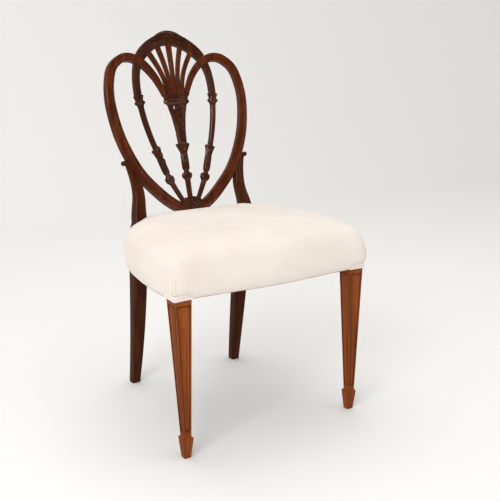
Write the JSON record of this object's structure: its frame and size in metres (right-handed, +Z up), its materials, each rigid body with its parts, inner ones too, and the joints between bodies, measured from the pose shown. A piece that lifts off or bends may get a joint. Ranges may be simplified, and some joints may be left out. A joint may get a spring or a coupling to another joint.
{
  "type": "shield back dining chair",
  "caption": "Side chair with a heart-shaped moulded back, fanned splat under a crest arch, stuffed-over seat with a bowed front, tapered front legs on spade feet",
  "frame": {"origin": "middle of the chair's box on the floor, with the floor at Z = 0", "axes": "+X to the right seen from in front, +Y to the back, +Z up; the chair faces -Y"},
  "size_m": [0.5752, 0.5816, 0.9709],
  "materials": {
    "show_wood": "dark red mahogany, french polished",
    "frame_wood": "plain beech, unpolished",
    "fixings": "plain steel",
    "seat_fabric": "plain cream upholstery cloth",
    "stuffing": "curled hair and cotton felt",
    "jute": "woven jute",
    "lining": "black cambric"
  },
  "bodies": {
    "root": {"shield_base": "show_wood", "shield_side_left": "show_wood", "shield_side_right": "show_wood", "shield_lobe_left": "show_wood", "shield_lobe_right": "show_wood", "crest_arch": "show_wood", "arch_limb_left": "show_wood", "arch_limb_right": "show_wood", "centre_splat": "show_wood", "side_bar_left": "show_wood", "side_bar_right": "show_wood", "base_rosette": "show_wood", "front_leg_left": "show_wood", "front_leg_right": "show_wood", "rear_leg_left": "show_wood", "rear_leg_right": "show_wood", "front_rail": "frame_wood", "back_rail": "frame_wood", "side_rail_left": "frame_wood", "side_rail_right": "frame_wood", "front_block_left": "frame_wood", "front_block_right": "frame_wood", "rear_block_left": "frame_wood", "rear_block_right": "frame_wood", "back_pegs": "frame_wood", "dust_cover_tacks": "fixings", "seat_cover": "seat_fabric", "leg_piping_left": "seat_fabric", "leg_piping_right": "seat_fabric", "seat_stuffing": "stuffing", "rail_wadding": "stuffing", "seat_hessian": "jute", "webbing_long": "jute", "webbing_cross": "jute", "dust_cover": "lining"}
  },
  "joints": []
}
